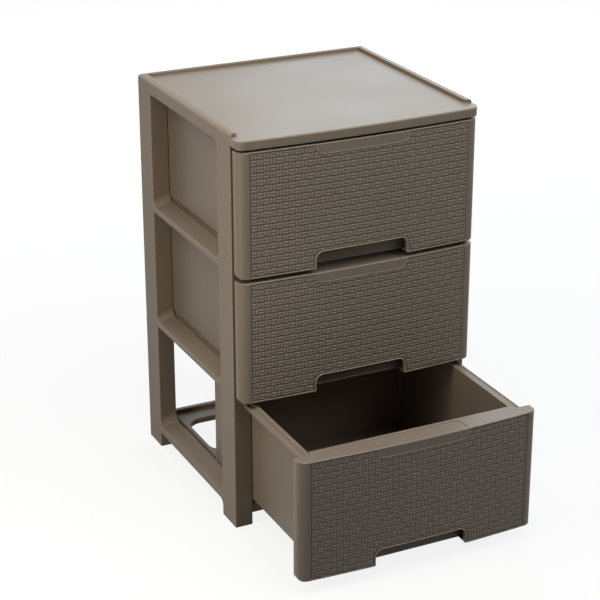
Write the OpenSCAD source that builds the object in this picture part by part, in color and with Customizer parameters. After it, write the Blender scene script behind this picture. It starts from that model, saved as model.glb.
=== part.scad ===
// Three-drawer storage tower: open ladder side frames, a rimmed top, ring shelves
// that carry the drawers, and bowed drawer fronts with a woven-look panel.
// Millimetres. +X is the right side, +Y the rear, +Z up.
// The origin is on the floor, in the middle of the side frames' footprint.

/* [Tower] */
// Width over the two side frames
tower_w = 385; // [320:1:460]
// Depth of the side frames, front post to rear post
tower_d = 345; // [300:1:420]
// Height of the lowest drawer front above the floor
base_clear = 21; // [14:0.5:40]
// Gap between the top drawer front and the bar above it
bar_gap = 3.4; // [2:0.1:6]
// Height of the bar along the front of the top
bar_h = 14; // [12:0.5:20]

/* [Side frames] */
// Thickness of a side frame
side_t = 27.5; // [24:0.5:34]
// Depth of the front and rear posts
post_d = 48; // [40:1:60]
// Height of the rails beside the two upper drawers' floors
rail_h = 16.5; // [12:0.5:20]
// Top of those rails above the edge of the drawer front beside them
rail_rise = 15.8; // [12:0.2:18]
// Height of the arch under the bottom rail
foot_h = 24.5; // [16:0.5:25]
// Height of the bottom rail
bottom_rail_h = 19.5; // [14:0.5:22]
// Height of the rail under the top
top_rail_h = 16.5; // [10:0.5:20]
// Fillet between the upper rails and the posts
window_r = 12; // [4:0.5:14]
// Fillet between the bottom rail and the posts
low_window_r = 15; // [4:0.5:16]
// Fillet in a window's upper front corner
window_top_r = 8.4; // [2:0.2:12]
// Fillet in a window's upper rear corner
window_rear_r = 1.5; // [0.5:0.5:8]
// Fillet between the front foot and the arch
arch_front_r = 10; // [2:0.5:14]
// Fillet between the rear foot and the arch
arch_rear_r = 2; // [1:0.5:12]
// Slope of a rail's top towards its outer edge, in twenty-fourths
rail_slope = 7; // [1:1:7]
// Rounding along the tower's outer top edge
top_round = 6; // [2:0.5:9]
// Radius at the front end of a rim, seen from above
rim_end_r = 5; // [1:0.5:8]
// Rounding of the tower's top rear corner, seen from the side
rear_corner_r = 9; // [2:0.5:14]
// Skin of the side frames around their hollows
side_skin = 2.8; // [2.2:0.2:4]
// Greatest distance between the ribs inside the rails
rib_pitch = 46; // [20:1:80]

/* [Top] */
// Height of the rim above the top surface
rim_h = 5.4; // [3:0.2:8]
// Width of the rim
rim_w = 11.5; // [9:0.5:13]
// Depth that the top panel's seat is let into the side frames
seat_drop = 6.2; // [5:0.2:9]
// Thickness of the top surface
top_t = 3; // [2:0.2:4]
// Depth of the ribs below the top surface
top_rib_h = 10; // [6:0.5:12]
// Thickness of the ribs below the top surface
top_rib_t = 2.4; // [1.6:0.2:3.2]
// Distance between the ribs that run front to rear
top_rib_pitch = 82; // [50:1:110]
// Number of ribs that run from side to side
top_rib_count = 5; // [2:1:8]
// Width of the thick border that seats the top panel
seat_w = 17; // [16:0.5:24]
// Plate in front of the hollow under the top
seat_front_w = 6; // [4:0.5:16]
// Plate behind that hollow, ahead of the rear rim
seat_rear_w = 2; // [1:0.5:10]
// Radius of the bar's lower corners, seen from ahead
bar_corner_r = 4; // [1:0.5:6]
// Radius of the rear rim's inner upper edge
rim_inner_r = 2; // [0.5:0.25:3]
// Radius of the pegs that hold the top panel
peg_r = 4; // [3:0.25:5]
// Length of the pegs below the seat
peg_len = 10; // [6:0.5:12]

/* [Shelf frames] */
// Top of a shelf above the lower edge of its drawer front
shelf_rise = 13; // [11:0.5:14]
// Height of a shelf's edge
shelf_h = 15; // [12:0.5:16]
// Thickness of a shelf's plate
shelf_t = 3; // [2:0.2:4]
// Thickness of a shelf's skirt and of the walls round its openings
shelf_wall = 2.6; // [2:0.2:4]
// Depth of the walls round a shelf's openings
hole_wall_h = 9.5; // [4:0.5:12]
// Plate beside a shelf's openings
shelf_margin = 18; // [16:0.5:30]
// Distance from the posts' front to a shelf's front edge
shelf_front_gap = 2; // [1:0.5:4]
// Distance from the posts' rear to a shelf's rear edge
shelf_rear_gap = 4.5; // [3:0.5:12]
// Plate in front of a shelf's openings
shelf_end = 36; // [28:0.5:50]
// Plate behind a shelf's openings
shelf_rear_end = 38.5; // [28:0.5:50]
// Width of the bar between a shelf's two openings
shelf_bar = 34; // [24:1:70]
// Outer corner radius of a shelf's openings
hole_r = 26; // [8:1:34]
// Corner radius of the openings beside the bar between them
hole_bar_r = 18; // [8:1:34]
// Height of the hollow lip behind a drawer
lip_h = 6.5; // [5:0.5:9]
// Thickness of that lip
lip_t = 8; // [6:0.5:12]
// Width of the glide strips under a drawer
glide_w = 7; // [5:0.5:13]

/* [Drawer fronts] */
// Height of a drawer front
front_h = 186.5; // [150:0.5:220]
// Gap between two drawer fronts
front_gap = 6.2; // [6:0.2:9]
// How far a front's end stands inside the tower's side
front_inset = 2; // [1:0.25:4]
// Depth of a front in its middle
front_t = 28; // [24:0.5:36]
// Bow of a front between its rounded corners
front_bow = 6.1; // [2:0.1:9]
// Radius of a front's upright corners
front_corner_r = 14; // [8:0.5:18]
// Radius of a front's lower corners, seen from ahead
front_foot_r = 5; // [2:0.5:8]
// Radius of a front's upper corners, seen from ahead
front_head_r = 2; // [0.5:0.25:4]
// Radius of corners that are nearly sharp
fine_r = 1; // [0.5:0.25:2]
// Gap between a closed front and the posts behind it
shut_gap = 3; // [2:0.25:5]
// Wall of a front
front_wall = 2.6; // [2:0.1:3.5]
// Plain band at each end of the woven panel
panel_side = 16; // [15:0.5:30]
// Plain lip above and below the woven panel
panel_lip = 2.4; // [1.5:0.1:5]
// Depth that the woven panel is let in
panel_depth = 1.2; // [0.6:0.1:1.6]
// Width of the finger notch
notch_w = 147; // [90:1:200]
// Height of the finger notch
notch_h = 25; // [18:0.5:32]
// Corner radius of the notch and of the plain tab above it
notch_r = 11; // [5:0.5:15]
// Plain border round the notch
notch_border = 2; // [1:0.25:4]
// How far the notch's edge turns inwards
notch_return = 8; // [4:0.5:10]
// Height of the plain tab at the top of a front
tab_h = 15.5; // [12:0.5:24]
// Depth of the hollow in a front's top surface
scoop_depth = 1.2; // [0.6:0.1:1.6]
// Plain border ahead of and beside that hollow
scoop_border = 3; // [2:0.25:5]
// Plain border behind that hollow
scoop_rear_border = 4; // [2:0.25:5]
// Distance from a tub's side to the top skin that reaches over its front rim
skin_inset = 1; // [0.5:0.25:2]
// Corner radius of that hollow
scoop_r = 9; // [3:0.5:12]

/* [Drawer tubs] */
// Underside of a tub above the lower edge of its front
tub_rise = 17.5; // [15:0.5:20]
// Clearance between a tub's side and the side frame
tub_side_clear = 1; // [0.6:0.1:2]
// Clearance between a tub's underside and the glide strips
glide_clear = 0.3; // [0.3:0.05:0.6]
// Clearance between a closed tub and the lip behind it
lip_clear = 1.5; // [1:0.1:4]
// Wall of a tub
tub_wall = 2; // [1.6:0.1:3]
// Corner radius of a tub, seen from above
tub_corner_r = 5; // [3:0.5:24]
// Rounding of a tub's lower edges
tub_edge_r = 6; // [4:0.5:12]
// Width of the flange along a tub's rim
flange_w = 13.5; // [8:0.5:15]
// Width of the flange along a tub's rear
rear_flange_w = 4.5; // [3:0.25:6]
// Width of the raised step along the rim's inner edge
step_w = 4; // [2:0.25:6]
// Height of that step above the flange
step_h = 1.9; // [1:0.1:3]
// Thickness of the flange
flange_t = 2.6; // [2:0.1:3.4]
// Height of the hem at the flange's outer edge
hem_h = 5.8; // [4:0.2:8]
// Rise of the hem above the flange
hem_rise = 1; // [0.2:0.1:1.8]
// Thickness of the hem
hem_t = 2.2; // [1.6:0.1:3]
// Drop from the top of a front to the top of its tub's rim
rim_drop = 2.8; // [2.8:0.1:4]
// Clearance round the flange in the posts' grooves
groove_clear = 0.9; // [0.5:0.1:1.5]
// Distance from a front's rear edge forward to its tub's front plate
plate_gap = 4.6; // [3:0.2:8]
// Depth of the double front wall under a tub's front rim
deck_d = 15; // [12:0.5:17]
// How far a drawer slides before its stop teeth meet the front posts
travel = 235; // [150:1:240]
// Height of the stop teeth below the hem
tooth_h = 4.5; // [3:0.25:6]
// Length of the stop teeth
tooth_len = 8; // [4:0.5:9]
// Width of the stop teeth
tooth_w = 6.5; // [4:0.25:8]
// Gap left between the stop teeth and the front posts at full travel
stop_clear = 0.5; // [0.3:0.1:1]
// How far the bottom drawer stands open
rest_pull = 190; // [0:1:230]

/* [Fits] */
// Clearance in pegs, tenons, clips and covers
fit = 0.2; // [0.1:0.05:0.4]
// Distance between a shelf's front and rear tenons
tenon_spread = 166; // [120:1:200]
// Width of the tenons that join the shelves to the rails
tenon_w = 22; // [14:1:30]
// Top of the tenons below a shelf's top
tenon_drop = 2; // [1:0.5:4]
// Length of the tenons
tenon_len = 9; // [5:0.5:12]
// Height of the tenons
tenon_h = 6; // [4:0.5:7]
// Distance from a front's end to its outer clips
clip_end = 56; // [40:1:70]
// Distance between the clips on each side of the middle
clip_spacing = 68; // [40:1:80]
// Distance of the clips from the top and the lower edge of a front
clip_inset = 42; // [34:1:70]
// Width of the clips that hold a front on its tub
clip_w = 14; // [8:1:22]
// Thickness of the clips
clip_t = 2; // [1.4:0.1:2.6]
// Height of the hooks on the clips
hook_h = 1.4; // [0.8:0.1:2]
// Depth of those hooks
hook_d = 1.6; // [1:0.1:2]

/* [Hidden] */

$fn = 64;
bow_fn = 1800;
cut = 1;
bond = 0.5;
bottom = 0;
middle = 1;
top = 2;

taupe = [0.48, 0.44, 0.385];
taupe_front = [0.45, 0.41, 0.36];
taupe_tub = [0.46, 0.42, 0.37];

// Levels. A drawer's own level 0 is the lower edge of its front.
function front_z(row) = base_clear + row * (front_h + front_gap);
bar_z = front_z(top) + front_h + bar_gap;
top_z = bar_z + bar_h;
rim_z = top_z + rim_h;
seat_z = top_z - seat_drop;
bottom_rail_top = foot_h + bottom_rail_h;
top_rail_z = top_z - top_rail_h;
function rail_top(row) = row == bottom ? bottom_rail_top : front_z(row) + rail_rise;
function window_high(row) = row == top ? top_rail_z : rail_top(row + 1) - rail_h;

// Places across and along the tower
half_w = tower_w / 2;
inner_x = half_w - side_t;
rim_x = half_w - rim_w;
y_front = -tower_d / 2;
y_rear = tower_d / 2;
window_front_y = y_front + post_d;
window_rear_y = y_rear - post_d;
slope_run = 24;
rail_fall = side_t * rail_slope / slope_run;
rail_tilt = atan(rail_slope / slope_run);
front_half = half_w - front_inset;
front_back_y = y_front - shut_gap;
front_face_y = front_back_y - front_t;
bar_t = front_t + shut_gap;

// Drawer tubs, in the drawer's own heights
tub_half = inner_x - tub_side_clear;
rim_top = front_h - rim_drop;
flange_top = rim_top - step_h;
hem_top = flange_top + hem_rise;
hem_low = hem_top - hem_h;
flange_half = tub_half + flange_w;
lip_y = y_rear - shelf_rear_gap - lip_t;
tub_rear_y = lip_y - lip_clear;
plate_y = front_back_y - plate_gap;
plate_t = tub_wall;
deck_rear_y = plate_y - plate_t + deck_d;
groove_low = hem_low - groove_clear;
groove_high = rim_top + groove_clear;
groove_x = flange_half + groove_clear;
groove_end_y = tub_rear_y + rear_flange_w + groove_clear;
tooth_y = window_front_y + travel + stop_clear;
tooth_x = inner_x + stop_clear;

// Shelves
shelf_front_y = y_front + shelf_front_gap;
shelf_rear_y = y_rear - shelf_rear_gap;
hole_half = inner_x - shelf_margin;
hole_front_y = shelf_front_y + shelf_end;
hole_rear_y = shelf_rear_y - shelf_rear_end;
hole_len = (hole_rear_y - hole_front_y - shelf_bar) / 2;
glide_x = tub_half - tub_edge_r * 0.2 - glide_w;
glide_h = tub_rise - glide_clear - shelf_rise;
tenon_ys = [-tenon_spread / 2, tenon_spread / 2];
tenon_z = -tenon_drop - tenon_h;

// Fronts
scoop_rear_y = deck_rear_y - scoop_rear_border;
clip_near = front_half - clip_end - clip_spacing;
clip_far = front_half - clip_end;
clip_xs = [-clip_far, -clip_near, clip_near, clip_far];
clip_zs = [clip_inset, front_h - clip_inset];

peg_ys = [y_front + post_d / 2, y_rear - post_d / 2];
peg_x = (inner_x + rim_x) / 2;

// A rectangle with its own radius at each corner, in the order
// lower left, lower right, upper right, upper left.
module corner_rect(x0, y0, x1, y1, radii) {
    xs = [x0, x1, x1, x0];
    ys = [y0, y0, y1, y1];
    sx = [1, -1, -1, 1];
    sy = [1, 1, -1, -1];
    difference() {
        translate([x0, y0]) square([x1 - x0, y1 - y0]);
        for (i = [0:3]) {
            if (radii[i] > 0) {
                translate([xs[i], ys[i]]) scale([sx[i], sy[i]]) corner_waste(radii[i]);
            }
        }
    }
}

// The waste outside a rounded corner at the origin, the part lying at +X +Y.
module corner_waste(r) {
    difference() {
        translate([-cut, -cut]) square(r + cut);
        translate([r, r]) circle(r);
    }
}

// A block given by its low and high corners.
module block(low, high) {
    translate(low) cube(high - low);
}

// Extrudes an outline drawn in X and Z along Y, from y0 to y1.
module along_y(y0, y1) {
    translate([0, y1, 0]) rotate([90, 0, 0]) linear_extrude(y1 - y0) children();
}

// Extrudes an outline drawn in Y and Z along X, from x0 to x1.
module along_x(x0, x1) {
    translate([x0, 0, 0]) rotate([90, 0, 90]) linear_extrude(x1 - x0) children();
}

// ---------------------------------------------------------------- side frames

// The outline of a side frame in Y and Z, before its windows are cut.
module side_outline() {
    difference() {
        corner_rect(y_front, 0, y_rear, rim_z, [0, 0, rear_corner_r, 0]);
        corner_rect(y_front + post_d, -cut, y_rear - post_d, foot_h,
            [0, 0, arch_rear_r, arch_front_r]);
    }
}

// A window. Its lower part is tilted, so that the top of the rail below it
// falls outwards, and laps over the straight part above.
module window_waste(row) {
    low_r = row == bottom ? low_window_r : window_r;
    straight_low = low_r + rail_fall;
    translate([inner_x, 0, rail_top(row)]) {
        along_x(-cut, side_t + cut)
            corner_rect(window_front_y, straight_low, window_rear_y,
                window_high(row) - rail_top(row), [0, 0, window_rear_r, window_top_r]);
        rotate([0, rail_tilt, 0]) along_x(-2 * rail_fall, side_t + 2 * rail_fall)
            corner_rect(window_front_y, 0, window_rear_y, straight_low + 2 * rail_fall,
                [low_r, low_r, 0, 0]);
    }
}

// Hollows in a post, open towards the drawers, with a rib between them.
module post_hollows(y0, y1) {
    for (row = [bottom:top]) {
        low = row == bottom ? side_skin : rail_top(row) + side_skin;
        high = front_z(row) + groove_low - side_skin;
        mid = (low + high) / 2;
        for (span = [[low, mid - side_skin / 2], [mid + side_skin / 2, high]]) {
            block([inner_x - cut, y0 + side_skin, span[0]],
                [half_w - side_skin, y1 - side_skin, span[1]]);
        }
    }
}

// Hollows under a rail, between cross ribs.
module rail_hollows(z_low, z_high) {
    y0 = window_front_y + window_r;
    y1 = window_rear_y - window_r;
    count = ceil((y1 - y0) / rib_pitch);
    bay = (y1 - y0) / count;
    for (i = [0:count - 1]) {
        block([inner_x + side_skin, y0 + i * bay + side_skin / 2, z_low - cut],
            [half_w - side_skin, y0 + (i + 1) * bay - side_skin / 2, z_high - side_skin]);
    }
}

// Grooves in the posts' inner faces, where the flanges of the drawers run.
module flange_grooves() {
    for (row = [bottom:top]) {
        z = front_z(row);
        block([inner_x - cut, y_front - cut, z + groove_low],
            [groove_x, groove_end_y, z + groove_high]);
    }
}

// Holes that take the shelves' tenons and the top panel's pegs.
module side_frame_sockets() {
    for (row = [bottom:top], y = tenon_ys) {
        z = front_z(row) + shelf_rise + tenon_z;
        block([inner_x - cut, y - tenon_w / 2 - fit, z - fit],
            [inner_x + tenon_len + fit, y + tenon_w / 2 + fit, z + tenon_h + fit]);
    }
    for (y = peg_ys) {
        translate([peg_x, y, seat_z - peg_len - cut])
            cylinder(r = peg_r + fit, h = peg_len + 2 * cut);
    }
}

// Waste along an outer edge that is rounded over, from y0 to y1.
module edge_waste(z, r, y0, y1) {
    translate([half_w, 0, z]) along_y(y0, y1) rotate(180) corner_waste(r);
}

module right_side_frame_shape() {
    difference() {
        along_x(inner_x, half_w) side_outline();
        for (row = [bottom:top]) {
            window_waste(row);
        }
        block([inner_x - cut, y_front - cut, seat_z], [rim_x, y_rear + cut, rim_z + cut]);
        translate([rim_x, y_front, top_z]) linear_extrude(rim_h + cut) corner_waste(rim_end_r);
        edge_waste(rim_z, top_round, y_front - cut, y_rear + cut);
        post_hollows(y_front, y_front + post_d);
        post_hollows(y_rear - post_d, y_rear);
        rail_hollows(foot_h, bottom_rail_top - rail_fall);
        for (row = [middle, top]) {
            rail_hollows(rail_top(row) - rail_h, rail_top(row) - rail_fall);
        }
        rail_hollows(top_rail_z, seat_z);
        flange_grooves();
        side_frame_sockets();
    }
}

module right_side_frame() {
    color(taupe) right_side_frame_shape();
}

module left_side_frame() {
    color(taupe) mirror([1, 0, 0]) right_side_frame_shape();
}

// ------------------------------------------------------------------------ top

// Outline of a bowed bar from above: straight at back_y, bowed at the front.
// inset shrinks the front and the ends by a wall's thickness.
module bowed_outline(half, back_y, depth, inset) {
    r = front_corner_r - inset;
    chord = half - front_corner_r;
    end_y = back_y - depth + front_bow;
    bow_r = (chord * chord + front_bow * front_bow) / (2 * front_bow);
    union() {
        corner_rect(-half + inset, end_y + inset, half - inset, back_y, [r, r, 0, 0]);
        intersection() {
            translate([0, back_y - depth + bow_r]) circle(bow_r - inset, $fn = bow_fn);
            translate([-chord, back_y - depth - cut]) square([2 * chord, depth + cut]);
        }
    }
}

module top_panel_ribs() {
    low = top_z - top_t - top_rib_h;
    x_end = inner_x - stop_clear;
    y0 = y_front + seat_front_w / 2;
    y1 = y_rear - rim_w;
    for (x = [-top_rib_pitch, 0, top_rib_pitch]) {
        block([x - top_rib_t / 2, y0, low], [x + top_rib_t / 2, y1, top_z - top_t + bond]);
    }
    for (i = [0:top_rib_count - 1]) {
        y = y0 + i * (y1 - y0 - top_rib_t) / (top_rib_count - 1);
        block([-x_end, y, low], [x_end, y + top_rib_t, top_z - top_t + bond]);
    }
}

module top_panel() {
    plate_x = rim_x - fit;
    color(taupe) {
        difference() {
            union() {
                // Plate between the rims, with a thick seat along its edges
                block([-plate_x, y_front - front_wall, seat_z], [plate_x, y_rear, top_z]);
                // Rear rim
                along_x(-plate_x, plate_x)
                    corner_rect(y_rear - rim_w, seat_z, y_rear, rim_z, [0, 0, rear_corner_r, rim_inner_r]);
                // Bowed front bar
                intersection() {
                    translate([0, 0, bar_z]) linear_extrude(bar_h)
                        bowed_outline(half_w, y_front, bar_t, 0);
                    along_y(y_front - bar_t - cut, y_front)
                        corner_rect(-half_w, bar_z, half_w, top_z,
                            [bar_corner_r, bar_corner_r, fine_r, fine_r]);
                }
            }
            // Hollow of the plate
            block([-plate_x + seat_w, y_front + seat_front_w, seat_z - cut],
                [plate_x - seat_w, y_rear - rim_w - seat_rear_w, top_z - top_t]);
            // Hollow under the front bar
            translate([0, 0, bar_z - cut]) linear_extrude(bar_h - top_t + cut)
                bowed_outline(half_w, y_front - front_wall, bar_t - front_wall, front_wall);
        }
        top_panel_ribs();
        for (x = [-peg_x, peg_x], y = peg_ys) {
            translate([x, y, seat_z - peg_len]) cylinder(r = peg_r, h = peg_len + cut);
        }
    }
}

// -------------------------------------------------------------------- shelves

// The two openings of a shelf, from above, grown by a wall's thickness.
module shelf_openings(grow) {
    end_r = hole_r + grow;
    bar_r = hole_bar_r + grow;
    corner_rect(-hole_half - grow, hole_front_y - grow, hole_half + grow,
        hole_front_y + hole_len + grow, [end_r, end_r, bar_r, bar_r]);
    corner_rect(-hole_half - grow, hole_rear_y - hole_len - grow, hole_half + grow,
        hole_rear_y + grow, [bar_r, bar_r, end_r, end_r]);
}

// A ring shelf, its plate's top at level 0, between the side frames.
module shelf_shape() {
    difference() {
        union() {
            // Plate
            translate([0, 0, -shelf_t]) linear_extrude(shelf_t)
                corner_rect(-inner_x, shelf_front_y, inner_x, shelf_rear_y, [0, 0, 0, 0]);
            // Skirt
            translate([0, 0, -shelf_h]) linear_extrude(shelf_h) difference() {
                corner_rect(-inner_x, shelf_front_y, inner_x, shelf_rear_y, [0, 0, 0, 0]);
                corner_rect(-inner_x + shelf_wall, shelf_front_y + shelf_wall,
                    inner_x - shelf_wall, shelf_rear_y - shelf_wall, [0, 0, 0, 0]);
            }
            // Walls round the openings
            translate([0, 0, -hole_wall_h]) linear_extrude(hole_wall_h) shelf_openings(shelf_wall);
            // Lip behind the drawer
            block([-inner_x, lip_y, -cut], [inner_x, shelf_rear_y, lip_h]);
            // Glide strips
            for (s = [-1, 1]) {
                block([s > 0 ? glide_x : -glide_x - glide_w, shelf_front_y + shelf_wall, -cut],
                    [s > 0 ? glide_x + glide_w : -glide_x, lip_y + cut, glide_h]);
            }
        }
        // Hollow of the lip
        block([-inner_x + shelf_wall, lip_y + shelf_wall, -shelf_t - cut],
            [inner_x - shelf_wall, shelf_rear_y - shelf_wall, lip_h - shelf_wall]);
        translate([0, 0, -shelf_h - cut]) linear_extrude(shelf_h + 2 * cut) shelf_openings(0);
    }
    for (s = [-1, 1], y = tenon_ys) {
        block([s > 0 ? inner_x - cut : -inner_x - tenon_len, y - tenon_w / 2, tenon_z],
            [s > 0 ? inner_x + tenon_len : -inner_x + cut, y + tenon_w / 2, tenon_z + tenon_h]);
    }
}

module base_frame() {
    color(taupe) translate([0, 0, front_z(bottom) + shelf_rise]) shelf_shape();
}

module lower_shelf_frame() {
    color(taupe) translate([0, 0, front_z(middle) + shelf_rise]) shelf_shape();
}

module upper_shelf_frame() {
    color(taupe) translate([0, 0, front_z(top) + shelf_rise]) shelf_shape();
}

// -------------------------------------------------------------------- drawers

// Moves a drawer piece to its row, and the bottom drawer out to where it stands.
module in_row(row) {
    translate([0, row == bottom ? -rest_pull : 0, front_z(row)]) children();
}

// Outline of the finger notch from ahead, grown by a border.
module notch_outline(grow) {
    r = notch_r + grow;
    corner_rect(-notch_w / 2 - grow, -cut, notch_w / 2 + grow, notch_h + grow, [0, 0, r, r]);
}

// Outline of the plain tab at the top centre of a front.
module tab_outline() {
    corner_rect(-notch_w / 2, front_h - tab_h, notch_w / 2, front_h + cut, [notch_r, notch_r, 0, 0]);
}

// The area of a front that carries the woven pattern, from ahead.
module woven_outline() {
    difference() {
        corner_rect(-front_half + panel_side, panel_lip, front_half - panel_side,
            front_h - panel_lip, [fine_r, fine_r, fine_r, fine_r]);
        notch_outline(notch_border);
        tab_outline();
    }
}

// A layer of the front's face, thick from the surface inwards, over an outline.
module face_layer(thick) {
    intersection() {
        linear_extrude(front_h) difference() {
            bowed_outline(front_half, front_back_y, front_t, -cut);
            bowed_outline(front_half, front_back_y + cut, front_t + cut, thick);
        }
        along_y(front_face_y - 2 * cut, front_back_y) children();
    }
}

// The outer form of a front, solid.
module front_body() {
    intersection() {
        linear_extrude(front_h) bowed_outline(front_half, front_back_y, front_t, 0);
        along_y(front_face_y - cut, front_back_y)
            corner_rect(-front_half, 0, front_half, front_h,
                [front_foot_r, front_foot_r, front_head_r, front_head_r]);
    }
}

// The inside of a front, open at the back.
module front_inside() {
    translate([0, 0, front_wall]) linear_extrude(front_h - 2 * front_wall) union() {
        bowed_outline(front_half, front_back_y, front_t, front_wall);
        corner_rect(-front_half + front_wall, front_back_y - cut,
            front_half - front_wall, front_back_y + cut, [0, 0, 0, 0]);
    }
}

// The turned-in edge round the finger notch.
module notch_return_wall() {
    intersection() {
        linear_extrude(front_h) difference() {
            bowed_outline(front_half, front_back_y, front_t, front_wall * 0.5);
            bowed_outline(front_half, front_back_y + cut, front_t + cut, notch_return);
        }
        along_y(front_face_y - cut, front_back_y) difference() {
            intersection() {
                notch_outline(notch_border);
                translate([-front_half, 0]) square([2 * front_half, front_h]);
            }
            notch_outline(0);
        }
    }
}

// One clip: a blade through the tub's front plate, hooked behind it. Its root
// is within the skin of the bowed face.
module clip(x, z) {
    hook_y = plate_y + fit;
    root_y = front_face_y + front_bow * pow(x / (front_half - front_corner_r), 2)
        + (panel_depth + front_wall) / 2;
    block([x - clip_w / 2, root_y, z], [x + clip_w / 2, hook_y + hook_d, z + clip_t]);
    block([x - clip_w / 2, hook_y, z],
        [x + clip_w / 2, hook_y + hook_d, z + clip_t + hook_h]);
}

// A front's cover, at level 0, closed.
module front_shape() {
    difference() {
        union() {
            difference() {
                front_body();
                front_inside();
            }
            // Top skin that reaches back over the tub's front rim
            block([-tub_half + skin_inset, front_back_y - cut, front_h - front_wall],
                [tub_half - skin_inset, deck_rear_y, front_h]);
            notch_return_wall();
        }
        // Woven panel, let in
        face_layer(panel_depth) woven_outline();
        // Finger notch
        along_y(front_face_y - 2 * cut, plate_y - plate_t) notch_outline(0);
        // Hollow in the top surface
        translate([0, 0, front_h - scoop_depth]) linear_extrude(scoop_depth + cut)
            intersection() {
                bowed_outline(front_half, scoop_rear_y, scoop_rear_y - front_face_y, scoop_border);
                corner_rect(-notch_w / 2, front_face_y - cut, notch_w / 2, scoop_rear_y,
                    [scoop_r, scoop_r, scoop_r, scoop_r]);
            }
    }
    for (x = clip_xs, z = clip_zs) {
        clip(x, z);
    }
}

// Rim outline from above, reaching out by side_grow and back by rear_grow.
module rim_outline(side_grow, rear_grow, front_y) {
    r = tub_corner_r + min(side_grow, rear_grow);
    corner_rect(-tub_half - side_grow, front_y, tub_half + side_grow,
        tub_rear_y + rear_grow, [0, 0, r, r]);
}

// Inside of a tub, from its floor up.
module tub_inside(wall) {
    floor_z = tub_rise + wall;
    edge_r = max(fine_r, tub_edge_r - wall);
    corner_r = tub_corner_r - wall;
    intersection() {
        along_y(deck_rear_y, tub_rear_y - wall)
            corner_rect(-tub_half + wall, floor_z, tub_half - wall, front_h + cut, [edge_r, edge_r, 0, 0]);
        linear_extrude(front_h + cut)
            corner_rect(-tub_half + wall, deck_rear_y, tub_half - wall, tub_rear_y - wall,
                [fine_r, fine_r, corner_r, corner_r]);
    }
}

// Outer form of a tub, without its rim and front plate.
module tub_outside() {
    intersection() {
        along_y(deck_rear_y - tub_wall, tub_rear_y)
            corner_rect(-tub_half, tub_rise, tub_half, rim_top, [tub_edge_r, tub_edge_r, 0, 0]);
        linear_extrude(front_h) rim_outline(0, 0, deck_rear_y - tub_wall);
    }
}

// The rim's flange, its raised inner step and its hem.
module tub_rim() {
    front_y = front_back_y + fit;
    translate([0, 0, flange_top - flange_t]) linear_extrude(flange_t)
        rim_outline(flange_w, rear_flange_w, front_y);
    translate([0, 0, flange_top - flange_t]) linear_extrude(rim_top - flange_top + flange_t)
        rim_outline(step_w, step_w * 0.5, front_y);
    translate([0, 0, hem_low]) linear_extrude(hem_h) difference() {
        rim_outline(flange_w, rear_flange_w, front_y);
        rim_outline(flange_w - hem_t, rear_flange_w - hem_t, front_y - cut);
    }
}

// The plate that carries the front cover, the deck behind it and the cheeks.
module tub_front_wall() {
    plate_half = front_half - front_wall - fit;
    plate_low = front_wall + fit;
    plate_high = front_h - front_wall - fit;
    difference() {
        block([-plate_half, plate_y - plate_t, plate_low], [plate_half, plate_y, plate_high]);
        for (x = clip_xs, z = clip_zs) {
            block([x - clip_w / 2 - fit, plate_y - plate_t - cut, z - fit],
                [x + clip_w / 2 + fit, plate_y + cut, z + clip_t + hook_h + fit]);
        }
    }
    // Deck under the front cover's top skin
    block([-tub_half + skin_inset, plate_y - plate_t, plate_high - tub_wall],
        [tub_half - skin_inset, deck_rear_y, plate_high]);
    // Cheeks between the plate and the tub's sides
    for (x = [-tub_half, tub_half - tub_wall]) {
        block([x, plate_y - cut, tub_rise + tub_edge_r],
            [x + tub_wall, deck_rear_y, plate_high - tub_wall + cut]);
    }
}

// A drawer tub, at level 0, closed.
module tub_shape() {
    difference() {
        union() {
            tub_outside();
            tub_rim();
        }
        tub_inside(tub_wall);
        // The rim stops where the front's deck begins
        block([-tub_half + tub_wall, front_back_y - cut, hem_low - cut],
            [tub_half - tub_wall, deck_rear_y - tub_wall, front_h]);
    }
    tub_front_wall();
    // Stop teeth under the flange
    for (s = [-1, 1]) {
        block([s > 0 ? tooth_x : -tooth_x - tooth_w, tooth_y, hem_low - tooth_h],
            [s > 0 ? tooth_x + tooth_w : -tooth_x, tooth_y + tooth_len, flange_top - flange_t + bond]);
    }
}

module top_drawer_front() {
    color(taupe_front) in_row(top) front_shape();
}

module top_drawer_tub() {
    color(taupe_tub) in_row(top) tub_shape();
}

module middle_drawer_front() {
    color(taupe_front) in_row(middle) front_shape();
}

module middle_drawer_tub() {
    color(taupe_tub) in_row(middle) tub_shape();
}

module bottom_drawer_front() {
    color(taupe_front) in_row(bottom) front_shape();
}

module bottom_drawer_tub() {
    color(taupe_tub) in_row(bottom) tub_shape();
}

top_panel();
left_side_frame();
right_side_frame();
upper_shelf_frame();
lower_shelf_frame();
base_frame();
top_drawer_front();
top_drawer_tub();
middle_drawer_front();
middle_drawer_tub();
bottom_drawer_front();
bottom_drawer_tub();
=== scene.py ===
import math

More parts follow.
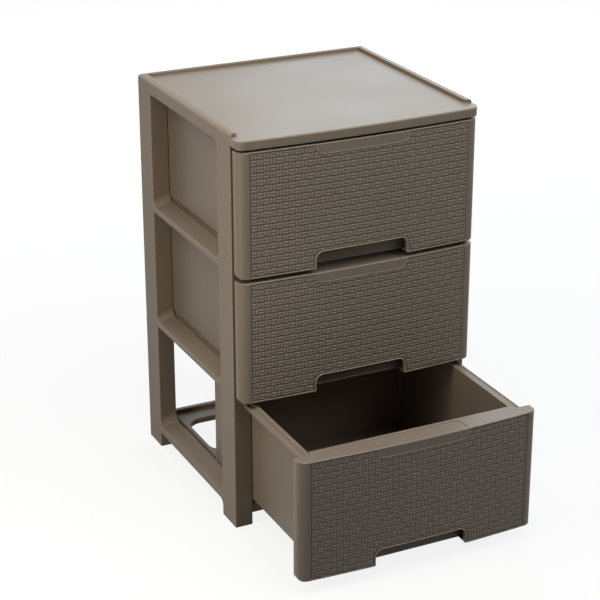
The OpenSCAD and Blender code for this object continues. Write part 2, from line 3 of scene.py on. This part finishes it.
import bmesh
import bpy
import numpy as np
from mathutils import Euler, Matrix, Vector


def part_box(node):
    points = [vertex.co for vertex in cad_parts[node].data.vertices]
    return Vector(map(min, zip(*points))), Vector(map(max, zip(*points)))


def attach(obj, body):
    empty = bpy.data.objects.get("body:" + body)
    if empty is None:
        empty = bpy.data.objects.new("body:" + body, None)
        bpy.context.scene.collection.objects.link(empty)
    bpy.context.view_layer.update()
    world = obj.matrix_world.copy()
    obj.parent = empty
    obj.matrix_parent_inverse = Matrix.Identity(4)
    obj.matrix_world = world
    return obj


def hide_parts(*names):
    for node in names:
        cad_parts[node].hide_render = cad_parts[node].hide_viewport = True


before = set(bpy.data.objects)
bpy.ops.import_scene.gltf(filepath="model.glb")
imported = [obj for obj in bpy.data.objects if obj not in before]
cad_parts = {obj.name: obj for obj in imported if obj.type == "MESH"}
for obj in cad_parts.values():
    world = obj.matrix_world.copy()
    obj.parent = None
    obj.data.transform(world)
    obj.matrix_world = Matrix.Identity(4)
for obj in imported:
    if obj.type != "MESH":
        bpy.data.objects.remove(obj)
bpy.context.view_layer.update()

MM = 0.001

# A drawer front in millimetres, as its mould has it. Heights are over its lower edge.
FRONT_H = 186.5
FACE_Y = -203.5      # the middle of its face, the drawer closed
BOW = 6.1            # the face falls back this far from its middle to BOW_HALF
BOW_HALF = 176.5
FIELD_HALF = 174.5   # the recessed field that holds the weave
FIELD_LOW = 2.4
FIELD_HIGH = 184.1
FIELD_DEPTH = 1.2
NOTCH_HALF = 75.5    # the field's edge round the finger notch
NOTCH_TOP = 27.0
NOTCH_R = 13.0
TAB_HALF = 73.5      # the field's edge round the plain tab
TAB_LOW = 171.0
TAB_R = 11.0

# Each drawer: the height of its front's lower edge and how far it stands out, in millimetres.
FRONTS = {
    "top_drawer": (406.4, 0.0),
    "middle_drawer": (213.7, 0.0),
    "bottom_drawer": (21.0, 190.0),
}

# The soft edges: two tolerances in metres, three angles, and the segments of the bevels.
WELD = 3e-6
SLIVER = 8e-6
FLAT_WITHIN = math.radians(0.6)   # faces this near to one plane become one
EASED_FROM = math.radians(32)     # outer edges that turn by more than this are eased
SHARP_FROM = math.radians(34)     # edges that turn by more than this are shaded as sharp
EASED_STEPS = 2
ROLLED_STEPS = 5
SHADING_WEIGHT = 80

# The rolled upper edges of the bowed bar and of the fronts, and where they lie, in millimetres.
BAR_ROLL = 2.4
BAR_TOP_FROM = 610.2
BAR_REAR = -172.6
FRONT_ROLL = 1.3
FRONT_TOP_WITHIN = 0.8
FACE_WITHIN = 3.0

# The weave: its cells, then how it lies on the field, in millimetres.
COLUMNS = 39
ROWS = 19
CELL_W = 9.5
CELL_H = 9.56
FIRST_CUT = 8.0      # this much of the first column lies off the field
STRAND_RISE = 1.18   # a full strand over the field's floor
GROOVE = 0.9         # the strands stay down this near the field's edge
GROOVE_SLOPE = 0.8   # and come up over this width
OVERHANG = 0.6       # the sheet is held within this of the field's sides
TRIM = 0.45          # faces further off the field are cut away
SUNK = 0.03          # the sheet's lowest places are let into the floor

# The raised lines round tab and notch, in millimetres.
BEAD_R = 0.85
BEAD_SIDES = 8
BEAD_DEPTH = 0.45    # the middle of the bead behind the face
BEAD_INSET = 0.9     # from the field's edge to the line round the notch
BEAD_END = 1.2       # the lines stop this short of the front's lower and upper edges
BEAD_PAINTED_HIGHLIGHT = 1.8    # how strongly the lines are painted paler as a painted highlight, where an eased edge is 1
ARC_POINTS = 7
ROW_POINTS = 25


# ------------------------------------------------------------------ node trees

def node(tree, kind, x, y, **settings):
    """A new node at x, y of the tree's sheet."""
    n = tree.nodes.new(kind)
    n.location = (x, y)
    for key, value in settings.items():
        setattr(n, key, value)
    return n


def fill(n, values):
    """Sets inputs of a node, given by name or by number."""
    for key, value in values.items():
        n.inputs[key].default_value = value
    return n


def empty_tree(owner):
    """The node tree of a material or a world, with nothing in it."""
    owner.use_nodes = True
    owner.node_tree.nodes.clear()
    return owner.node_tree


def ramp(tree, stops, x, y):
    """A colour ramp through stops of a place and a colour."""
    n = node(tree, "ShaderNodeValToRGB", x, y)
    elements = n.color_ramp.elements
    for k, (at, colour) in enumerate(stops):
        stop = elements[k] if k < 2 else elements.new(at)
        stop.position = at
        stop.color = (*colour, 1)
    return n


def spread(tree, value, span, onto, x, y):
    """Maps a value from one span onto another, without leaving it."""
    n = node(tree, "ShaderNodeMapRange", x, y)
    fill(n, {"From Min": span[0], "From Max": span[1], "To Min": onto[0], "To Max": onto[1]})
    tree.links.new(value, n.inputs["Value"])
    return n.outputs["Result"]


def geometry_tree(name, inputs):
    """A tree of geometry nodes with named inputs, the last of them its finish.
    It comes with the node that holds these inputs."""
    tree = bpy.data.node_groups.new(name, "GeometryNodeTree")
    for title, kind, value in (*inputs, ("Finish", "Material", None)):
        socket = tree.interface.new_socket(title, in_out="INPUT", socket_type="NodeSocket" + kind)
        if value is not None:
            socket.default_value = value
    tree.interface.new_socket("Geometry", in_out="OUTPUT", socket_type="NodeSocketGeometry")
    return tree, node(tree, "NodeGroupInput", -1400, 0)


def end_tree(tree, start, shape):
    """Realizes what the tree has made, gives it the finish and sends it out."""
    real = node(tree, "GeometryNodeRealizeInstances", 500, 100)
    finish = node(tree, "GeometryNodeSetMaterial", 700, 100)
    end = node(tree, "NodeGroupOutput", 900, 0)
    tree.links.new(shape, real.inputs[0])
    tree.links.new(real.outputs[0], finish.inputs["Geometry"])
    tree.links.new(start.outputs["Finish"], finish.inputs["Material"])
    tree.links.new(finish.outputs[0], end.inputs[0])


def plain_mesh(holder, tree, finish):
    """What a tree of geometry nodes makes of holder, as a plain mesh. The holder is removed."""
    maker = holder.modifiers.new("maker", "NODES")
    maker.node_group = tree
    for item in tree.interface.items_tree:
        if item.in_out == "INPUT" and item.name == "Finish":
            maker[item.identifier] = finish
    graph = bpy.context.evaluated_depsgraph_get()
    mesh = bpy.data.meshes.new_from_object(holder.evaluated_get(graph), depsgraph=graph)
    bpy.data.objects.remove(holder)
    return mesh


# -------------------------------------------------------------------- finishes

# The noises of the plastic: scale per metre and detail.
CLOUD = (5.0, 3.0)
SPECK = (380.0, 2.0)
GRAIN = (1300.0, 1.0)
SPECK_SHARE = 0.35
TINT_SPAN = (0.42, 0.92)
SHEEN_SPAN = (0.3, 0.7)
SATIN = (0.38, 0.48)
GRAIN_STRENGTH = 0.6
GRAIN_DEPTH = 0.00003
PLASTIC_IOR = 1.49
# Eased edges and beads are painted paler than the plastic: partly wear, partly a painted highlight
# along the edges.
WEAR_AND_HIGHLIGHT_PALER = 1.5
# Painted shade in the low places of a woven face and a painted highlight on its crowns: how light
# it is at its lowest, middle and highest places.
RELIEF_PAINTED_SHADE = ((0.0, 0.16), (0.5, 0.80), (1.0, 1.16))


def satin_plastic(name, light, deep, gloss, rough=SATIN, relief=None):
    """Moulded plastic: a cloudy tint, an uneven sheen, a fine grain, and edges painted paler,
    partly as wear and partly as a painted highlight.
    relief names a height attribute: its low places get painted shade and its crowns a painted
    highlight, as in a woven face."""
    mat = bpy.data.materials.new(name)
    tree = empty_tree(mat)
    link = tree.links.new
    place = node(tree, "ShaderNodeTexCoord", -1300, 0)

    def noise(scale_and_detail, y):
        texture = node(tree, "ShaderNodeTexNoise", -1000, y)
        fill(texture, dict(zip(("Scale", "Detail"), scale_and_detail)))
        link(place.outputs["Object"], texture.inputs["Vector"])
        return texture.outputs["Fac"]

    cloud = noise(CLOUD, 250)
    speck = noise(SPECK, 0)
    grain = noise(GRAIN, -250)

    both = fill(node(tree, "ShaderNodeMath", -750, 150, operation="MULTIPLY_ADD"), {1: SPECK_SHARE})
    tint = ramp(tree, zip(TINT_SPAN, (deep, light)), -550, 200)
    link(speck, both.inputs[0])
    link(cloud, both.inputs[2])
    link(both.outputs[0], tint.inputs["Fac"])

    # Painted paler where marked: partly wear, partly a painted highlight along eased edges and
    # beads.
    wear_and_highlight = node(tree, "ShaderNodeAttribute", -1000, -500, attribute_name="wear_and_highlight")
    patchy = node(tree, "ShaderNodeMath", -550, -450, operation="MULTIPLY")
    paler = node(tree, "ShaderNodeMix", -200, 150, data_type="RGBA")
    fill(paler, {"B": (*[min(1.0, WEAR_AND_HIGHLIGHT_PALER * c) for c in light], 1)})
    link(wear_and_highlight.outputs["Fac"], patchy.inputs[0])
    link(speck, patchy.inputs[1])
    link(patchy.outputs[0], paler.inputs["Factor"])
    link(tint.outputs["Color"], paler.inputs["A"])
    colour = paler.outputs["Result"]

    # Painted shade in the grooves of a woven face and a painted highlight on its crowns, by height.
    if relief:
        height = node(tree, "ShaderNodeAttribute", -550, 500, attribute_name=relief)
        shade = ramp(tree, [(at, (grey, grey, grey)) for at, grey in RELIEF_PAINTED_SHADE], -350, 500)
        sunk = node(tree, "ShaderNodeMix", 50, 300, data_type="RGBA", blend_type="MULTIPLY")
        fill(sunk, {"Factor": 1.0})
        link(height.outputs["Fac"], shade.inputs["Fac"])
        link(colour, sunk.inputs["A"])
        link(shade.outputs["Color"], sunk.inputs["B"])
        colour = sunk.outputs["Result"]

    bump = node(tree, "ShaderNodeBump", 300, -300)
    fill(bump, {"Strength": GRAIN_STRENGTH, "Distance": GRAIN_DEPTH})
    shader = node(tree, "ShaderNodeBsdfPrincipled", 600, 0)
    fill(shader, {"Specular IOR Level": gloss, "IOR": PLASTIC_IOR})
    out = node(tree, "ShaderNodeOutputMaterial", 900, 0)
    link(grain, bump.inputs["Height"])
    link(colour, shader.inputs["Base Color"])
    link(spread(tree, cloud, SHEEN_SPAN, rough, -550, -100), shader.inputs["Roughness"])
    link(bump.outputs["Normal"], shader.inputs["Normal"])
    link(shader.outputs["BSDF"], out.inputs["Surface"])
    return mat


FRAME_PLASTIC = satin_plastic("satin_taupe_frame", light=(0.212, 0.169, 0.126),
                              deep=(0.190, 0.151, 0.112), gloss=0.16)
TOP_PLASTIC = satin_plastic("satin_taupe_top", light=(0.222, 0.182, 0.142),
                            deep=(0.200, 0.164, 0.127), gloss=0.20, rough=(0.36, 0.46))
FRONT_PLASTIC = satin_plastic("satin_taupe_front", light=(0.204, 0.168, 0.131),
                              deep=(0.185, 0.151, 0.117), gloss=0.27)
# The woven finish carries painted shade in its grooves and a painted highlight on its crowns.
WOVEN_PLASTIC = satin_plastic("satin_taupe_woven_painted_shade", light=(0.227, 0.189, 0.151),
                              deep=(0.201, 0.166, 0.131), gloss=0.27, rough=(0.44, 0.54),
                              relief="rise")
TUB_PLASTIC = satin_plastic("satin_taupe_tub", light=(0.203, 0.163, 0.125),
                            deep=(0.185, 0.148, 0.113), gloss=0.22)


# ---------------------------------------------------------------------- pieces

def in_scene(name, data):
    """A new object in the scene, at the origin."""
    thing = bpy.data.objects.new(name, data)
    bpy.context.scene.collection.objects.link(thing)
    return thing


def smooth(mesh):
    """Shades every face of a mesh as part of a smooth surface."""
    mesh.polygons.foreach_set("use_smooth", [True] * len(mesh.polygons))


def dress(piece, body, material):
    """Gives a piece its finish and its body."""
    piece.data.materials.clear()
    piece.data.materials.append(material)
    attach(piece, body)


def soft_edged(name, width, rolled=None):
    """The moulded shape of a node with its outer edges eased by width. rolled gives a test
    of a point and a larger width, for edges that are rolled over."""
    form = bmesh.new()
    form.from_mesh(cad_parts[name].data)
    bmesh.ops.remove_doubles(form, verts=form.verts, dist=WELD)
    bmesh.ops.dissolve_limit(form, angle_limit=FLAT_WITHIN, verts=form.verts,
                             edges=form.edges, use_dissolve_boundaries=False)
    wear_and_highlight = form.faces.layers.float.new("wear_and_highlight")

    def ease(test, by, segments):
        edges = [e for e in form.edges if e.is_manifold and e.is_convex
                 and e.calc_face_angle(0) > EASED_FROM and all(test(v.co) for v in e.verts)]
        made = bmesh.ops.bevel(form, geom=edges, offset=by, offset_type="OFFSET",
                               segments=segments, profile=0.5, affect="EDGES",
                               clamp_overlap=False, miter_outer="ARC")
        # The eased faces are marked to be painted paler: partly wear, partly a painted highlight.
        for face in made["faces"]:
            face[wear_and_highlight] = 1.0

    if rolled:
        ease(*rolled, ROLLED_STEPS)
    ease(lambda co: True, width, EASED_STEPS)
    # Every point is held inside the node's own box.
    low, high = (Vector(corner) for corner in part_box(name))
    for vert in form.verts:
        vert.co = [min(max(c, a), b) for c, a, b in zip(vert.co, low, high)]
    bmesh.ops.dissolve_degenerate(form, dist=SLIVER, edges=form.edges)
    mesh = bpy.data.meshes.new(name + "_moulded")
    form.to_mesh(mesh)
    form.free()
    smooth(mesh)
    mesh.set_sharp_from_angle(angle=SHARP_FROM)
    piece = in_scene(name + "_moulded", mesh)
    even = piece.modifiers.new("even_shading", "WEIGHTED_NORMAL")
    even.keep_sharp = True
    even.weight = SHADING_WEIGHT
    return piece


def on_bar_top(co):
    """The upper edge of the bowed bar, ahead of the posts."""
    return co.z > BAR_TOP_FROM * MM and co.y < BAR_REAR * MM


def on_front_top(level, out):
    """The upper edge of the face of one drawer front."""
    def test(co):
        return (co.z > (level + FRONT_H - FRONT_TOP_WITHIN) * MM
                and co.y < (FACE_Y + BOW + FACE_WITHIN - out) * MM)
    return test


# Each node: its body, its slot, its finish and how far its edges are eased, in millimetres.
PIECES = {
    "top_panel": ("frame", "frame_plastic", TOP_PLASTIC, 0.9),
    "left_side_frame": ("frame", "frame_plastic", FRAME_PLASTIC, 0.9),
    "right_side_frame": ("frame", "frame_plastic", FRAME_PLASTIC, 0.9),
    "upper_shelf_frame": ("frame", "frame_plastic", FRAME_PLASTIC, 0.5),
    "lower_shelf_frame": ("frame", "frame_plastic", FRAME_PLASTIC, 0.5),
    "base_frame": ("frame", "frame_plastic", FRAME_PLASTIC, 0.5),
    "top_drawer_front": ("top_drawer", "front_plastic", FRONT_PLASTIC, 0.7),
    "middle_drawer_front": ("middle_drawer", "front_plastic", FRONT_PLASTIC, 0.7),
    "bottom_drawer_front": ("bottom_drawer", "front_plastic", FRONT_PLASTIC, 0.7),
    "top_drawer_tub": ("top_drawer", "tub_plastic", TUB_PLASTIC, 0.5),
    "middle_drawer_tub": ("middle_drawer", "tub_plastic", TUB_PLASTIC, 0.5),
    "bottom_drawer_tub": ("bottom_drawer", "tub_plastic", TUB_PLASTIC, 0.5),
}

for name, (body, slot, material, width) in PIECES.items():
    rolled = None
    if name == "top_panel":
        rolled = (on_bar_top, BAR_ROLL * MM)
    elif material is FRONT_PLASTIC:
        rolled = (on_front_top(*FRONTS[body]), FRONT_ROLL * MM)
    piece = soft_edged(name, width * MM, rolled)
    dress(piece, body, material)
    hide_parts(name)


# --------------------------------------------------------------- woven pattern

# Places across one cell of the weave, from edge to edge, and how high the plastic stands there.
KNOTS = [-1.0, -0.82, -0.5, -0.15, 0.0, 0.15, 0.5, 0.82, 1.0]
COLUMN_EDGE = [0.0, 0.26, 0.40, 0.34, 0.24, 0.34, 0.40, 0.26, 0.0]
LYING = {"across": [0.0, 0.66, 1.0, 0.72, 0.22, 0.72, 1.0, 0.66, 0.0],
         "along": [0.0, 0.70, 1.0, 1.0, 1.0, 1.0, 1.0, 0.70, 0.0]}
STANDING = {"across": [0.0, 0.70, 0.90, 0.66, 0.14, 0.66, 0.90, 0.70, 0.0],
            "along": [0.0, 0.78, 1.0, 1.0, 1.0, 1.0, 1.0, 0.78, 0.0]}


def lying_height(i, k):
    """Two strands from side to side, sunk at the columns' edges, where they go under."""
    under = COLUMN_EDGE[k]
    return under + (LYING["across"][k] - under) * LYING["along"][i]


def standing_height(i, k):
    """Two upright strands, their ends turned steeply down at the rows' edges."""
    if i in (0, len(KNOTS) - 1):
        return COLUMN_EDGE[k]
    return STANDING["across"][i] * STANDING["along"][k]


def twin_strands(name, height):
    """Two strands side by side that fill one cell of the weave, height giving their relief."""
    form = bmesh.new()
    rows = [[form.verts.new((u * CELL_W / 2 * MM, v * CELL_H / 2 * MM, height(i, k) * MM))
             for k, v in enumerate(KNOTS)] for i, u in enumerate(KNOTS)]
    for low, high in zip(rows, rows[1:]):
        for k in range(len(KNOTS) - 1):
            form.faces.new((low[k], high[k], high[k + 1], low[k + 1]))
    mesh = bpy.data.meshes.new(name)
    form.to_mesh(mesh)
    form.free()
    smooth(mesh)
    return bpy.data.objects.new(name, mesh)


def weave_tree(lying, standing):
    """Lays the two cells by turns over a sheet of columns and rows."""
    tree, start = geometry_tree("twin_basket_weave", (
        ("Columns", "Int", COLUMNS), ("Rows", "Int", ROWS),
        ("Cell Width", "Float", CELL_W * MM), ("Cell Height", "Float", CELL_H * MM)))
    link = tree.links.new

    def maths(operation, a, b, x, y):
        n = node(tree, "ShaderNodeMath", x, y, operation=operation)
        for socket, value in zip(n.inputs, (a, b)):
            if isinstance(value, (int, float)):
                socket.default_value = value
            elif value is not None:
                link(value, socket)
        return n.outputs[0]

    columns, rows = start.outputs["Columns"], start.outputs["Rows"]
    wide, tall = start.outputs["Cell Width"], start.outputs["Cell Height"]
    index = node(tree, "GeometryNodeInputIndex", -1400, -300).outputs[0]
    column = maths("FLOORED_MODULO", index, columns, -1200, -200)
    row = maths("FLOOR", maths("DIVIDE", index, columns, -1200, -400), None, -1000, -400)
    x = maths("MULTIPLY", maths("ADD", column, 0.5, -1000, -200), wide, -800, -200)
    y = maths("MULTIPLY", maths("ADD", row, 0.5, -800, -400), tall, -600, -400)
    spot = node(tree, "ShaderNodeCombineXYZ", -500, -200)
    points = node(tree, "GeometryNodePoints", -300, 200)
    link(x, spot.inputs["X"])
    link(y, spot.inputs["Y"])
    link(maths("MULTIPLY", columns, rows, -1200, 200), points.inputs["Count"])
    link(spot.outputs[0], points.inputs["Position"])

    odd = maths("FLOORED_MODULO", maths("ADD", column, row, -800, -600), 2.0, -600, -600)
    even = maths("SUBTRACT", 1.0, odd, -400, -600)
    both = node(tree, "GeometryNodeJoinGeometry", 300, 100)
    for k, (cell, chosen) in enumerate(((standing, odd), (lying, even))):
        source = node(tree, "GeometryNodeObjectInfo", -300, -50 - 300 * k)
        fill(source, {"Object": cell})
        lay = node(tree, "GeometryNodeInstanceOnPoints", 100, 100 - 300 * k)
        link(points.outputs[0], lay.inputs["Points"])
        link(chosen, lay.inputs["Selection"])
        link(source.outputs["Geometry"], lay.inputs["Instance"])
        link(lay.outputs[0], both.inputs[0])
    end_tree(tree, start, both.outputs[0])
    return tree


def face_y(x):
    """Where the bowed face of a closed drawer lies at x, in millimetres."""
    return FACE_Y + BOW * (x / BOW_HALF) ** 2


def clear_of_edges(x, z):
    """Distance from a point of a front to the nearest edge of the woven field, in millimetres."""
    sides = np.minimum(FIELD_HALF - np.abs(x), np.minimum(z - FIELD_LOW, FIELD_HIGH - z))

    def rounded(qx, qz, r):
        corner = np.hypot(np.maximum(qx, 0), np.maximum(qz, 0))
        return corner + np.minimum(np.maximum(qx, qz), 0) - r

    notch = rounded(np.abs(x) - NOTCH_HALF + NOTCH_R, z - NOTCH_TOP + NOTCH_R, NOTCH_R)
    tab = rounded(np.abs(x) - TAB_HALF + TAB_R, TAB_LOW + TAB_R - z, TAB_R)
    return np.minimum(sides, np.minimum(notch, tab))


def woven_field(name, flat, level, out):
    """The weave bent onto one bowed front, let down into the grooves round its field."""
    mesh = flat.copy()
    mesh.name = name
    points = np.empty(len(mesh.vertices) * 3)
    mesh.vertices.foreach_get("co", points)
    points = points.reshape(-1, 3) / MM
    x = points[:, 0] - FIELD_HALF - FIRST_CUT
    z = FIELD_HIGH - points[:, 1]
    ease = np.clip((clear_of_edges(x, z) - GROOVE) / GROOVE_SLOPE, 0, 1)
    ease = ease * ease * (3 - 2 * ease)
    rise = points[:, 2] * ease
    x = np.clip(x, -FIELD_HALF - OVERHANG, FIELD_HALF + OVERHANG)
    z = np.clip(z, FIELD_LOW - OVERHANG, FIELD_HIGH + OVERHANG)
    y = face_y(x) + FIELD_DEPTH + SUNK - STRAND_RISE * rise
    placed = np.stack([x, y - out, z + level], axis=1) * MM
    mesh.vertices.foreach_set("co", placed.ravel())
    mesh.attributes.new("rise", "FLOAT", "POINT").data.foreach_set("value", rise)

    form = bmesh.new()
    form.from_mesh(mesh)
    middles = np.array([f.calc_center_median() for f in form.faces]) / MM
    off = clear_of_edges(middles[:, 0], middles[:, 2] - level) < -TRIM
    bmesh.ops.delete(form, geom=[f for f, gone in zip(form.faces, off) if gone], context="FACES")
    # The rows are laid downwards, which turned the faces over.
    bmesh.ops.reverse_faces(form, faces=form.faces)
    form.to_mesh(mesh)
    form.free()
    return in_scene(name, mesh)


# -------------------------------------------------------------- raised outlines

def corner_arc(cx, cz, r, start, stop):
    """Points round a corner, its angles in degrees."""
    last = ARC_POINTS - 1
    turns = [math.radians(start + (stop - start) * k / last) for k in range(ARC_POINTS)]
    return [(cx + r * math.cos(turn), cz + r * math.sin(turn)) for turn in turns]


def across(half, z):
    """Points straight across a front between two corners, close enough to follow its bow."""
    last = ROW_POINTS - 1
    return [(-half + 2 * half * k / last, z) for k in range(1, last)]


def tab_line():
    """Round the plain tab: down, along its lower edge and up again."""
    top, inner = FRONT_H - BEAD_END, TAB_HALF - TAB_R
    left = corner_arc(-inner, TAB_LOW + TAB_R, TAB_R, 180, 270)
    right = corner_arc(inner, TAB_LOW + TAB_R, TAB_R, 270, 360)
    return [(-TAB_HALF, top)] + left + across(inner, TAB_LOW) + right + [(TAB_HALF, top)]


def notch_line():
    """Round the finger notch, on its plain border."""
    half, high, r = (size - BEAD_INSET for size in (NOTCH_HALF, NOTCH_TOP, NOTCH_R))
    left = corner_arc(-half + r, high - r, r, 180, 90)
    right = corner_arc(half - r, high - r, r, 90, 0)
    return [(-half, BEAD_END)] + left + across(half - r, high) + right + [(half, BEAD_END)]


def bead_tree():
    """A round bead of one radius along every spline of a curve."""
    tree, start = geometry_tree("raised_bead", (
        ("Geometry", "Geometry", None), ("Radius", "Float", BEAD_R * MM),
        ("Sides", "Int", BEAD_SIDES)))
    ring = node(tree, "GeometryNodeCurvePrimitiveCircle", -900, -200)
    sweep = fill(node(tree, "GeometryNodeCurveToMesh", -300, 0), {"Fill Caps": True})
    link = tree.links.new
    link(start.outputs["Radius"], ring.inputs["Radius"])
    link(start.outputs["Sides"], ring.inputs["Resolution"])
    link(start.outputs["Geometry"], sweep.inputs["Curve"])
    link(ring.outputs["Curve"], sweep.inputs["Profile Curve"])
    end_tree(tree, start, sweep.outputs["Mesh"])
    return tree


def raised_outlines(name, tree, level, out):
    """The beads round the tab and the notch of one front, partly sunk in its face."""
    curve = bpy.data.curves.new(name, "CURVE")
    curve.dimensions = "3D"
    for line in (tab_line(), notch_line()):
        spline = curve.splines.new("POLY")
        spline.points.add(len(line) - 1)
        for point, (x, z) in zip(spline.points, line):
            point.co = (x * MM, (face_y(x) + BEAD_DEPTH - out) * MM, (z + level) * MM, 1)
    mesh = plain_mesh(in_scene(name, curve), tree, FRONT_PLASTIC)
    mesh.name = name
    smooth(mesh)
    # The beads are painted paler along their length as a painted highlight, more strongly than an
    # eased edge.
    wear_and_highlight = mesh.attributes.new("wear_and_highlight", "FLOAT", "FACE")
    wear_and_highlight.data.foreach_set("value", [BEAD_PAINTED_HIGHLIGHT] * len(mesh.polygons))
    return in_scene(name, mesh)


cells = (twin_strands("lying_strands", lying_height),
         twin_strands("standing_strands", standing_height))
holder = in_scene("flat_weave", bpy.data.meshes.new("flat_weave"))
flat_weave = plain_mesh(holder, weave_tree(*cells), WOVEN_PLASTIC)
beads = bead_tree()
for body, (level, out) in FRONTS.items():
    field = woven_field(body + "_woven_field", flat_weave, level, out)
    dress(field, body, WOVEN_PLASTIC)
    outlines = raised_outlines(body + "_outlines", beads, level, out)
    dress(outlines, body, FRONT_PLASTIC)
for cell in cells:
    bpy.data.objects.remove(cell)


# ---------------------------------------------------------------------- studio

# Lengths are in metres. The floor's glow goes from the first to the second value of GLOW
# between the two distances of GLOW_SPAN from the tower.
FLOOR_HALF = 12.0
FLOOR_GREY = 0.12
GLOW_SPAN = (0.5, 2.6)
GLOW = (0.86, 0.97)
AMBIENT = 0.02
LAMP_TARGET = (0, 0, 0.3)
PLAIN = (1, 1, 1)
COOL = (0.80, 1.0, 1.14)
WARM = (1.05, 0.97, 0.86)

# Each soft box: its place, its width and height, the brightness of its face and its tint.
SOFT_BOXES = {
    "left_soft_box": ((-0.76, -0.32, 0.46), (0.2, 0.8), 4.9, WARM),
    "upper_left_soft_box": ((-1.2, -0.3, 1.9), (0.6, 0.6), 7.0, WARM),
    "front_right_soft_box": ((1.0, -1.8, 1.9), (1.2, 1.2), 2.9, PLAIN),
    "top_soft_box": ((0.0, -0.1, 2.2), (1.6, 1.6), 2.0, PLAIN),
    "top_front_soft_box": ((0.2, -1.0, 2.4), (1.6, 1.2), 3.5, PLAIN),
    "rear_right_soft_box": ((1.6, 2.0, 1.6), (1.6, 1.4), 2.4, COOL),
    "rear_soft_box": ((-0.5, 2.4, 1.1), (1.2, 1.4), 3.0, PLAIN),
}

# The camera's place in metres, its pitch and turn in radians, and its lens in millimetres.
CAMERA_AT = (-1.1471, -2.3516, 1.3597)
CAMERA_PITCH = 0.3937170
CAMERA_TURN = -0.4562941
SENSOR_W = 36.0
LENS = 108.95
RENDER_W = 600   # in pixels, as are the two numbers that are divided by it
SHIFT_X = -5.1 / RENDER_W
SHIFT_Y = -1.75 / RENDER_W
CLIP_END = 50


def seen_directly(tree, x, y):
    """1 for rays from the camera, from a shiny surface or through a clear one, else 0."""
    path = node(tree, "ShaderNodeLightPath", x - 400, y)
    first = node(tree, "ShaderNodeMath", x - 200, y + 80, operation="MAXIMUM")
    seen = node(tree, "ShaderNodeMath", x, y, operation="MAXIMUM")
    tree.links.new(path.outputs["Is Camera Ray"], first.inputs[0])
    tree.links.new(path.outputs["Is Glossy Ray"], first.inputs[1])
    tree.links.new(first.outputs[0], seen.inputs[0])
    tree.links.new(path.outputs["Is Transmission Ray"], seen.inputs[1])
    return seen.outputs[0]


def pale_floor():
    """A plain floor, white where it is seen and dark grey in the light it gives back.
    Its glow grows away from the tower, where the lamps reach it less."""
    mesh = bpy.data.meshes.new("floor")
    s = FLOOR_HALF
    mesh.from_pydata([(-s, -s, 0), (s, -s, 0), (s, s, 0), (-s, s, 0)], [], [(0, 1, 2, 3)])
    mat = bpy.data.materials.new("pale_floor")
    tree = empty_tree(mat)
    link = tree.links.new
    matt = node(tree, "ShaderNodeBsdfDiffuse", 0, 0)
    fill(matt, {"Color": (FLOOR_GREY, FLOOR_GREY, FLOOR_GREY, 1)})
    glow = node(tree, "ShaderNodeEmission", 0, -150)
    place = node(tree, "ShaderNodeTexCoord", -1000, -300)
    far = node(tree, "ShaderNodeVectorMath", -800, -300, operation="LENGTH")
    gain = node(tree, "ShaderNodeMath", -200, -200, operation="MULTIPLY")
    both = node(tree, "ShaderNodeAddShader", 300, 0)
    out = node(tree, "ShaderNodeOutputMaterial", 600, 0)
    link(place.outputs["Object"], far.inputs[0])
    link(seen_directly(tree, -400, 100), gain.inputs[0])
    link(spread(tree, far.outputs["Value"], GLOW_SPAN, GLOW, -600, -300), gain.inputs[1])
    link(gain.outputs[0], glow.inputs["Strength"])
    link(matt.outputs[0], both.inputs[0])
    link(glow.outputs[0], both.inputs[1])
    link(both.outputs[0], out.inputs["Surface"])
    mesh.materials.append(mat)
    in_scene("floor", mesh)


def pale_room():
    """White where the room is seen, and a faint light from it elsewhere."""
    world = bpy.data.worlds.new("pale_room")
    bpy.context.scene.world = world
    tree = empty_tree(world)
    back = fill(node(tree, "ShaderNodeBackground", 200, 0), {"Color": (1, 1, 1, 1)})
    out = node(tree, "ShaderNodeOutputWorld", 400, 0)
    strength = spread(tree, seen_directly(tree, -200, 0), (0.0, 1.0), (AMBIENT, 1.0), 0, 0)
    tree.links.new(strength, back.inputs["Strength"])
    tree.links.new(back.outputs[0], out.inputs["Surface"])


def soft_box(name, at, size, brightness, tint):
    """A soft box turned to the tower. brightness is that of its white face."""
    light = bpy.data.lights.new(name, "AREA")
    light.shape = "RECTANGLE"
    light.size, light.size_y = size
    light.energy = brightness * math.pi * size[0] * size[1]
    light.color = tint
    lamp = in_scene(name, light)
    lamp.location = at
    aim = Vector(LAMP_TARGET) - Vector(at)
    lamp.rotation_euler = aim.to_track_quat("-Z", "Y").to_euler()
    lamp.visible_camera = False


def set_camera():
    """The camera to the left of the tower and above it, its colours left as they are."""
    lens = bpy.data.cameras.new("camera")
    lens.sensor_width = SENSOR_W
    lens.sensor_fit = "HORIZONTAL"
    lens.lens = LENS
    lens.shift_x = SHIFT_X
    lens.shift_y = SHIFT_Y
    lens.clip_end = CLIP_END
    camera = in_scene("camera", lens)
    camera.location = CAMERA_AT
    camera.rotation_euler = Euler((math.pi / 2 - CAMERA_PITCH, 0, CAMERA_TURN))
    bpy.context.scene.camera = camera
    bpy.context.scene.view_settings.view_transform = "Standard"


pale_floor()
pale_room()
for name, settings in SOFT_BOXES.items():
    soft_box(name, *settings)
set_camera()
